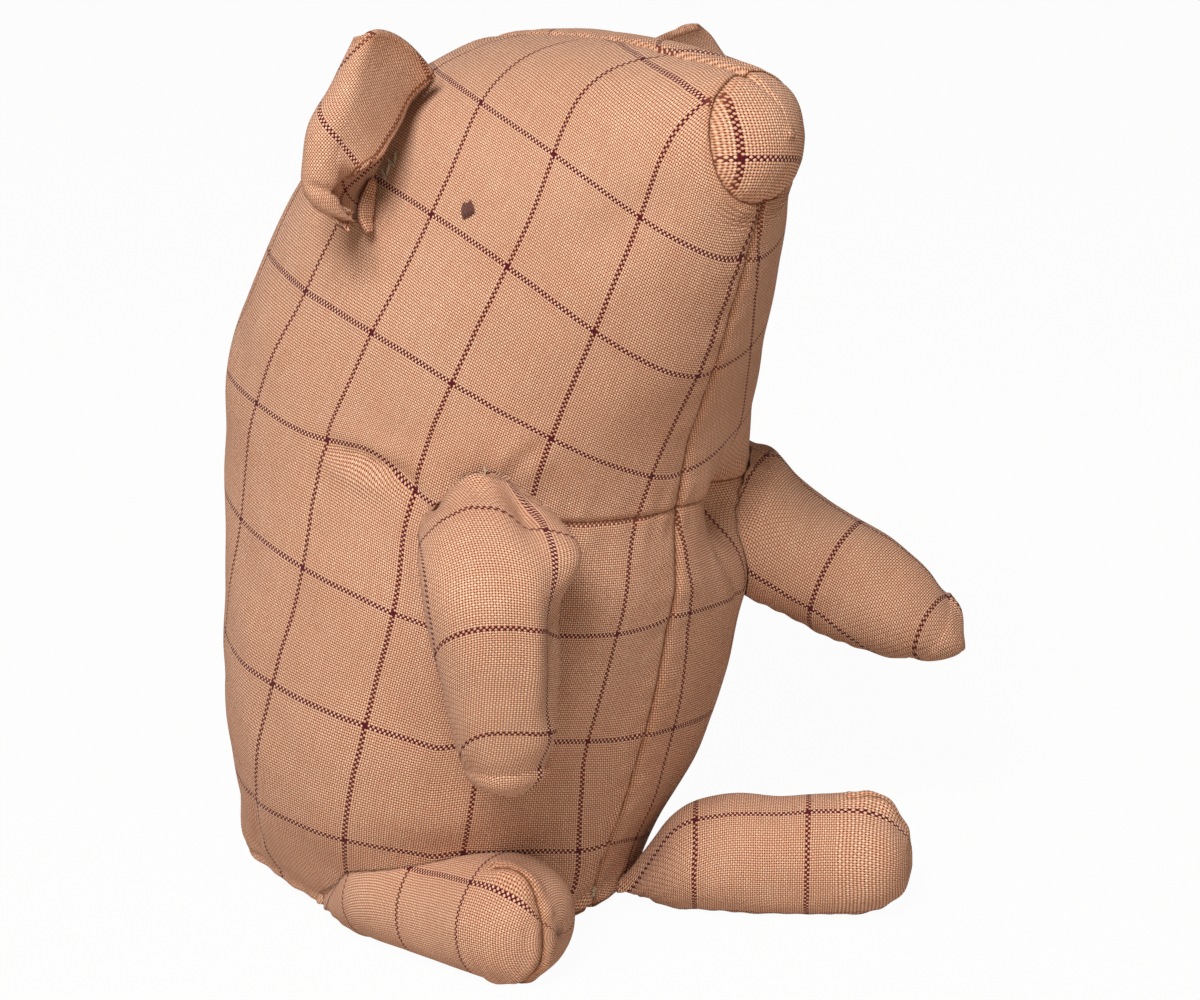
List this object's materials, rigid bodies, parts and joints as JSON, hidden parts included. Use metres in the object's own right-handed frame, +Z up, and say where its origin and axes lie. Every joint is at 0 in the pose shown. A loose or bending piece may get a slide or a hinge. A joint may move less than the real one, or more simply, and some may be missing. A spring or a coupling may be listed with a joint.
{
  "type": "plush pig",
  "caption": "Seated stuffed pig of checked linen with sewn-on arms, legs and folded ears that swing on their seams.",
  "frame": {"origin": "middle of the base seam's width on the underside of the base panel, level with the floor", "axes": "+Z up, the pig faces -Y, +X is the pig's left side"},
  "size_m": [0.1341, 0.1211, 0.1752],
  "materials": {
    "side_panel_right": "woven linen, matt",
    "side_panel_left": "woven linen, matt",
    "base_panel": "woven linen, matt",
    "snout_panel": "woven linen, matt",
    "body_stuffing": "loose fibre filling, matt",
    "head_stuffing": "loose fibre filling, matt",
    "eye_knot_right": "knotted thread, matt",
    "eye_knot_left": "knotted thread, matt",
    "ear_right_outer": "woven linen, matt",
    "ear_right_inner": "woven linen, matt",
    "ear_left_outer": "woven linen, matt",
    "ear_left_inner": "woven linen, matt",
    "arm_right_cover": "woven linen, matt",
    "arm_right_stuffing": "loose fibre filling, matt",
    "arm_left_cover": "woven linen, matt",
    "arm_left_stuffing": "loose fibre filling, matt",
    "leg_right_cover": "woven linen, matt",
    "leg_right_stuffing": "loose fibre filling, matt",
    "leg_left_cover": "woven linen, matt",
    "leg_left_stuffing": "loose fibre filling, matt"
  },
  "bodies": {
    "torso": {"side_panel_right": "side_panel_right", "side_panel_left": "side_panel_left", "base_panel": "base_panel", "snout_panel": "snout_panel", "body_stuffing": "body_stuffing", "head_stuffing": "head_stuffing", "eye_knot_right": "eye_knot_right", "eye_knot_left": "eye_knot_left"},
    "ear_right": {"ear_right_outer": "ear_right_outer", "ear_right_inner": "ear_right_inner"},
    "ear_left": {"ear_left_outer": "ear_left_outer", "ear_left_inner": "ear_left_inner"},
    "arm_right": {"arm_right_cover": "arm_right_cover", "arm_right_stuffing": "arm_right_stuffing"},
    "arm_left": {"arm_left_cover": "arm_left_cover", "arm_left_stuffing": "arm_left_stuffing"},
    "leg_right": {"leg_right_cover": "leg_right_cover", "leg_right_stuffing": "leg_right_stuffing"},
    "leg_left": {"leg_left_cover": "leg_left_cover", "leg_left_stuffing": "leg_left_stuffing"}
  },
  "joints": [
    {"name": "shoulder_right", "type": "hinge", "parent": "torso", "child": "arm_right", "pos_m": [-0.03801, -0.04684, 0.0974], "axis": [-0.7054, 0.7054, -0.0698], "range_deg": [0, 85]},
    {"name": "shoulder_left", "type": "hinge", "parent": "torso", "child": "arm_left", "pos_m": [0.03978, -0.04535, 0.08764], "axis": [-0.6428, -0.766, 0], "range_deg": [0, 50]},
    {"name": "hip_right", "type": "hinge", "parent": "torso", "child": "leg_right", "pos_m": [-0.03246, -0.00103, 0], "axis": [-0.9983, -0.0576, 0], "range_deg": [-70, 0]},
    {"name": "hip_left", "type": "hinge", "parent": "torso", "child": "leg_left", "pos_m": [0.00797, -0.0398, 0], "axis": [-0.809, -0.5878, 0], "range_deg": [-70, 0]},
    {"name": "ear_root_right", "type": "hinge", "parent": "torso", "child": "ear_right", "pos_m": [-0.03455, -0.02383, 0.15277], "axis": [0.5833, -0.0101, 0.8122], "range_deg": [-15, 5]},
    {"name": "ear_root_left", "type": "hinge", "parent": "torso", "child": "ear_left", "pos_m": [0.03455, -0.02383, 0.15277], "axis": [0.5833, 0.0101, -0.8122], "range_deg": [-15, 5]}
  ]
}
